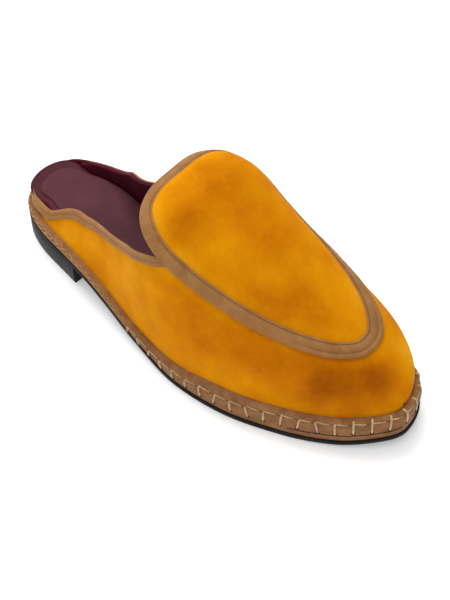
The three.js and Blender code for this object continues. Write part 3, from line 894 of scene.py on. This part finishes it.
# Heel block, cut by a slanting breast that is slightly hollow
heel = {"breast": 57.2, "slant": 5, "rim": 1.2, "hollow": 0.9,
        "rows": [(0.7, 0.0), (0.2, 0.25), (-0.15, 0.9), (-0.2, 4.0), (-0.1, 12.65), (0.2, 12.95)]}
heelBm = soleMesh([(inset, lambda along, height=height: height) for inset, height in heel["rows"]])
slant = math.radians(heel["slant"])
cutAt = place(shoe["middle"], heel["breast"], 0)
bmesh.ops.bisect_plane(heelBm, geom=heelBm.verts[:] + heelBm.edges[:] + heelBm.faces[:], plane_co=cutAt,
                       plane_no=(-math.sin(slant), -math.cos(slant), 0), clear_outer=True)
cutEdges = [edge for edge in heelBm.edges if edge.is_boundary]
breast = bmesh.ops.holes_fill(heelBm, edges=cutEdges, sides=0)["faces"]
bmesh.ops.inset_region(heelBm, faces=breast, thickness=heel["rim"] / 1000, depth=-heel["hollow"] / 1000)
facedOut(heelBm)
makePiece("heel_block", heelBm, [finish["heelBlock"]], ["heel"])
print("sole, footbed and heel made")


# Threads as round cords along short paths, joined into one mesh
def threadPiece(name, paths, radius, material):
    curve = bpy.data.curves.new(name, "CURVE")
    curve.dimensions = "3D"
    curve.bevel_depth = radius / 1000
    curve.bevel_resolution = 1
    curve.use_fill_caps = True
    for path in paths:
        spline = curve.splines.new("POLY")
        spline.points.add(len(path) - 1)
        for point, spot in zip(spline.points, path):
            point.co = (*spot, 1)
    shape = bpy.data.objects.new(name + "_curve", curve)
    scene.collection.objects.link(shape)
    mesh = bpy.data.meshes.new_from_object(shape.evaluated_get(bpy.context.evaluated_depsgraph_get()))
    bpy.data.objects.remove(shape)
    bm = bmesh.new()
    bm.from_mesh(mesh)
    bpy.data.meshes.remove(mesh)
    bmesh.ops.remove_doubles(bm, verts=bm.verts, dist=mergeWithin["thread"])
    makePiece(name, facedOut(bm), [material])


# A point on the midsole's side, from its level and how far it stands out
def midsolePoint(turn, side, share, out):
    rows = midsole["rows"]
    inset = rows[-1][0]
    for (insetA, levelA), (insetB, levelB) in zip(rows, rows[1:]):
        if levelA <= share <= levelB:
            inset = mix(insetA, insetB, (share - levelA) / (levelB - levelA))
            break
    spot = outlinePoint(turn, side, inset - out)
    return place(spot.x, spot.y, midsoleLevel(share)(spot.y))


# Even steps round the midsole's edge, from one distance along to another
def edgeSteps(side, start, end, step):
    samples = 900
    marks = [(turnAt(start), 0.0)]
    spot = outlinePoint(marks[0][0], side)
    total = 0.0
    for k in range(1, samples + 1):
        turn = mix(turnAt(start), turnAt(end), k / samples)
        now = outlinePoint(turn, side)
        total += (now - spot).length
        spot = now
        marks.append((turn, total))
    count = round(total / step)
    steps = []
    j = 0
    for i in range(count + 1):
        goal = total * i / count
        while j < len(marks) - 2 and marks[j + 1][1] < goal:
            j += 1
        span = marks[j + 1][1] - marks[j][1]
        steps.append(mix(marks[j][0], marks[j + 1][0], (goal - marks[j][1]) / span if span else 0))
    return steps


# Blanket stitches round the forefoot: an upright each, and a link back to the one before
blanket = {"step": 9.4, "start": 104, "low": 0.27, "line": 0.745, "top": 0.96, "radius": 0.6,
           "out": 0.05, "swell": 0.34, "toe": (226, 240), "linkOut": 0.12, "linkRadius": 0.36,
           "linkReach": 0.68, "linkDrop": 0.05, "pathSteps": 7, "seed": 7, "leans": (-0.02, 0.02),
           "lows": (-0.02, 0.03), "tops": (-0.03, 0.02), "linkRises": (0.01, 0.07)}
random.seed(blanket["seed"])


def bowed(turn, side, low, high, lean):
    path = []
    for k in range(blanket["pathSteps"] + 1):
        t = k / blanket["pathSteps"]
        out = blanket["out"] + blanket["swell"] * math.sin(math.pi * t)
        path.append(midsolePoint(turn + lean * (t - 0.5), side, mix(low, high, t), out))
    return path


def linkPath(before, turn, side, rise):
    path = []
    for k in range(blanket["pathSteps"] + 1):
        t = k / blanket["pathSteps"]
        share = blanket["line"] + rise - (rise + blanket["linkDrop"]) * t
        turned = mix(before, turn, blanket["linkReach"] * t)
        path.append(midsolePoint(turned, side, share, blanket["linkOut"]))
    return path


uprights, linkPaths, holes = [], [], []
outerTurns = edgeSteps("outer", blanket["start"], shoe["length"], blanket["step"])
innerTurns = edgeSteps("inner", blanket["start"], shoe["length"], blanket["step"])
places = [("outer", turn) for turn in outerTurns]
places += [("inner", turn) for turn in reversed(innerTurns[:-1])]
for k, (side, turn) in enumerate(places):
    lean = random.uniform(*blanket["leans"])
    toe = smooth(lastSection(turn)[0].y, *blanket["toe"])
    low = blanket["low"] + random.uniform(*blanket["lows"])
    top = mix(blanket["line"], blanket["top"], toe) + random.uniform(*blanket["tops"])
    uprights.append(bowed(turn, side, low, top, lean))
    holes.append((side, turn - lean / 2, low))
    if k:
        before = places[k - 1][1] if places[k - 1][0] == side else math.pi
        linkPaths.append(linkPath(before, turn, side, random.uniform(*blanket["linkRises"])))
threadPiece("blanket_stitch", uprights, blanket["radius"], finish["creamThreadAndShade"])
threadPiece("blanket_links", linkPaths, blanket["linkRadius"], finish["creamThreadAndShade"])

# A dense chain round waist and heel: two bowed threads to a link
chain = {"start": 0.05, "stopShort": 3, "step": 4.8, "low": 0.62, "high": 0.9, "radius": 0.36,
         "out": 0.12, "over": 0.02, "startShare": -0.1, "span": 1.25, "pathSteps": 7}
chainPaths = []
for side in ("outer", "inner"):
    turns = edgeSteps(side, chain["start"], blanket["start"] - chain["stopShort"], chain["step"])
    middle = (chain["low"] + chain["high"]) / 2
    reach = (chain["high"] - chain["low"]) / 2
    for a, b in zip(turns, turns[1:]):
        for sign in (1, -1):
            path = []
            for k in range(chain["pathSteps"] + 1):
                t = k / chain["pathSteps"]
                level = middle + sign * reach * math.sin(math.pi * t)
                turned = mix(a, b, chain["startShare"] + chain["span"] * t)
                path.append(midsolePoint(turned, side, level, chain["out"] + sign * chain["over"]))
            chainPaths.append(path)
threadPiece("chain_stitch", chainPaths, chain["radius"], finish["goldThread"])

# A dark seam low round the toe, and a painted shadow: a dark cord along the line under the wrap's upper
# strip
seamAndShadowLine = {"lines": [(210, 0.2, 0.0), (60, 0.71, 0.05)],  # start along, level, how far out
          "end": 257, "step": 3, "radius": 0.3}
seamAndShadowPaths = []
for side in ("outer", "inner"):
    for start, level, out in seamAndShadowLine["lines"]:
        turns = edgeSteps(side, start, seamAndShadowLine["end"], seamAndShadowLine["step"])
        seamAndShadowPaths.append([midsolePoint(turn, side, level, out) for turn in turns])
threadPiece("sole_seam_and_shadow_line", seamAndShadowPaths, seamAndShadowLine["radius"], finish["darkSeamAndPaintedShade"])

# Needle holes below the blanket stitches: small flat dark dimples, painted shade inside each hole
hole = {"size": 1.15, "flat": 0.35, "below": 0.015, "out": 0.12, "lookOut": 3}
holeBm = bmesh.new()
for side, turn, low in holes:
    spot = midsolePoint(turn, side, low - hole["below"], hole["out"])
    outwards = (midsolePoint(turn, side, low - hole["below"], hole["lookOut"]) - spot).normalized()
    turnTo = Vector((0, 0, 1)).rotation_difference(outwards)
    dimple = bmesh.ops.create_icosphere(holeBm, subdivisions=1, radius=hole["size"] / 1000)["verts"]
    for vert in dimple:
        vert.co = spot + turnTo @ Vector((vert.co.x, vert.co.y, vert.co.z * hole["flat"]))
makePiece("needle_holes", holeBm, [finish["darkSeamAndPaintedShade"]])

# Fine dark seam on the apron's binding, close to its inner edge
seam = {"count": 210, "inset": 7.45, "height": 1.62, "half": 0.32, "radius": 0.2}


def seamPoint(where):
    low = math.floor(where)
    a = overApron(low, seam["inset"], seam["height"])
    b = overApron(low + 1, seam["inset"], seam["height"])
    return a.lerp(b, where - low)


each = apron["stations"] / seam["count"]
seamPaths = [[seamPoint((k + part) * each) for part in (-seam["half"], 0, seam["half"])]
             for k in range(seam["count"])]
threadPiece("apron_seam", seamPaths, seam["radius"], finish["darkThread"])
print("threads made")

# Floor, light and surroundings
studio = {"floorSize": 3, "floorTone": 0.93, "floorGlow": 0.22, "surround": 0.5,
          "lights": [  # name, place in metres, size, watts
              ("keyLight", (0.5, 0.9, 1.6), 1.4, 25), ("fillLight", (-1.3, -0.5, 1.2), 1.6, 6.5),
              ("topLight", (0.0, 0.0, 2.2), 2.2, 16)]}
floorBm = bmesh.new()
bmesh.ops.create_grid(floorBm, x_segments=1, y_segments=1, size=studio["floorSize"])
floorMesh = bpy.data.meshes.new("floor")
floorBm.to_mesh(floorMesh)
floorBm.free()
floor = bpy.data.objects.new("floor", floorMesh)
scene.collection.objects.link(floor)
floorShader = Shader("floorPaper", 0.9, Specular_IOR_Level=0.1, Emission_Color=(1, 1, 1, 1),
                     Emission_Strength=studio["floorGlow"])
floorShader.main.inputs["Base Color"].default_value = (studio["floorTone"],) * 3 + (1,)
floorMesh.materials.append(floorShader.material)

scene.world = bpy.data.worlds.new("studio")
scene.world.use_nodes = True
background = scene.world.node_tree.nodes["Background"]
background.inputs["Color"].default_value = (1, 1, 1, 1)
background.inputs["Strength"].default_value = studio["surround"]
for name, spot, size, power in studio["lights"]:
    lamp = bpy.data.lights.new(name, "AREA")
    lamp.size = size
    lamp.energy = power
    lampObject = bpy.data.objects.new(name, lamp)
    scene.collection.objects.link(lampObject)
    lampObject.location = spot
    lampObject.rotation_euler = (-Vector(spot)).to_track_quat("-Z", "Y").to_euler()
scene.view_settings.view_transform = "Standard"
print("stage set")
